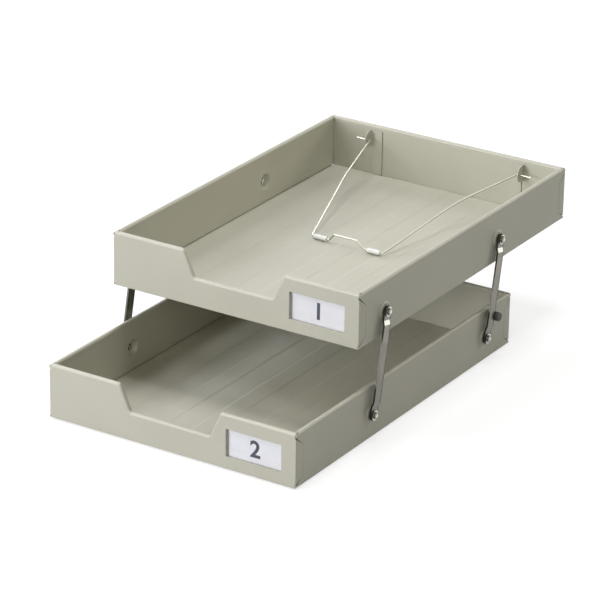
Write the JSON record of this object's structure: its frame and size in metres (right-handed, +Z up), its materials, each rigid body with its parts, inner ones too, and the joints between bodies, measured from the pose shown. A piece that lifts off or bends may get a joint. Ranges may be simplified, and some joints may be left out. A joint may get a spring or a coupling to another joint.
{
  "type": "letter tray stand",
  "caption": "Stacked steel letter trays joined by swinging links, with hand notches, label windows and a lifting wire paper presser.",
  "frame": {"origin": "on the desk under the middle of the stand, links leaning back on their stoppers", "axes": "+Z up, front panels with the notches and label windows facing -Y, +X to the right seen from the front"},
  "size_m": [0.268, 0.457, 0.1419],
  "materials": {
    "painted_steel": "satin grey beige paint",
    "label_card": "matt white card",
    "plated_steel": "bright nickel plate",
    "polished_steel": "drawn and polished",
    "steel_wire": "plated drawn wire",
    "white_plastic": "smooth",
    "dark_rubber": "matt"
  },
  "bodies": {
    "lower_tray": {"lower_pan": "painted_steel", "lower_front_panel": "painted_steel", "lower_back_panel": "painted_steel", "lower_label_card": "label_card", "lower_rivet_front_left": "plated_steel", "lower_washer_front_left": "plated_steel", "lower_rivet_front_right": "plated_steel", "lower_washer_front_right": "plated_steel", "lower_rivet_rear_left": "plated_steel", "lower_washer_rear_left": "plated_steel", "lower_rivet_rear_right": "plated_steel", "lower_washer_rear_right": "plated_steel", "foot_front_left": "dark_rubber", "foot_front_right": "dark_rubber", "foot_rear_left": "dark_rubber", "foot_rear_right": "dark_rubber", "stopper_left": "dark_rubber", "stopper_right": "dark_rubber"},
    "link_front_left": {"link_front_left": "polished_steel"},
    "link_front_right": {"link_front_right": "polished_steel"},
    "link_rear_left": {"link_rear_left": "polished_steel"},
    "link_rear_right": {"link_rear_right": "polished_steel"},
    "upper_tray": {"upper_pan": "painted_steel", "upper_front_panel": "painted_steel", "upper_back_panel": "painted_steel", "upper_label_card": "label_card", "upper_rivet_front_left": "plated_steel", "upper_washer_front_left": "plated_steel", "upper_rivet_front_right": "plated_steel", "upper_washer_front_right": "plated_steel", "upper_rivet_rear_left": "plated_steel", "upper_washer_rear_left": "plated_steel", "upper_rivet_rear_right": "plated_steel", "upper_washer_rear_right": "plated_steel", "presser_bracket_left": "painted_steel", "presser_bracket_right": "painted_steel"},
    "presser": {"presser_wire": "steel_wire", "presser_sleeve_left": "white_plastic", "presser_sleeve_right": "white_plastic"}
  },
  "joints": [
    {"name": "swing_rear_right", "type": "hinge", "parent": "lower_tray", "child": "link_rear_right", "pos_m": [0.13, 0.08532, 0.024], "axis": [1, 0, 0], "range_deg": [0, 68.4]},
    {"name": "swing_rear_left", "type": "hinge", "parent": "lower_tray", "child": "link_rear_left", "pos_m": [-0.13, 0.08532, 0.024], "axis": [1, 0, 0], "range_deg": [0, 68.4]},
    {"name": "swing_front_right", "type": "hinge", "parent": "lower_tray", "child": "link_front_right", "pos_m": [0.13, -0.11018, 0.024], "axis": [1, 0, 0], "range_deg": [0, 68.4]},
    {"name": "swing_front_left", "type": "hinge", "parent": "lower_tray", "child": "link_front_left", "pos_m": [-0.13, -0.11018, 0.024], "axis": [1, 0, 0], "range_deg": [0, 68.4]},
    {"name": "tray_level", "type": "hinge", "parent": "link_rear_right", "child": "upper_tray", "pos_m": [0.13, 0.10408, 0.11356], "axis": [1, 0, 0], "range_deg": [-68.4, 0]},
    {"name": "presser_lift", "type": "hinge", "parent": "upper_tray", "child": "presser", "pos_m": [0.0028, 0.21658, 0.12916], "axis": [-1, 0, 0], "range_deg": [0, 128]}
  ],
  "couplings": [
    {"joint": "swing_rear_left", "follows": "swing_rear_right", "ratio": 1},
    {"joint": "swing_front_right", "follows": "swing_rear_right", "ratio": 1},
    {"joint": "swing_front_left", "follows": "swing_rear_right", "ratio": 1},
    {"joint": "tray_level", "follows": "swing_rear_right", "ratio": -1}
  ]
}
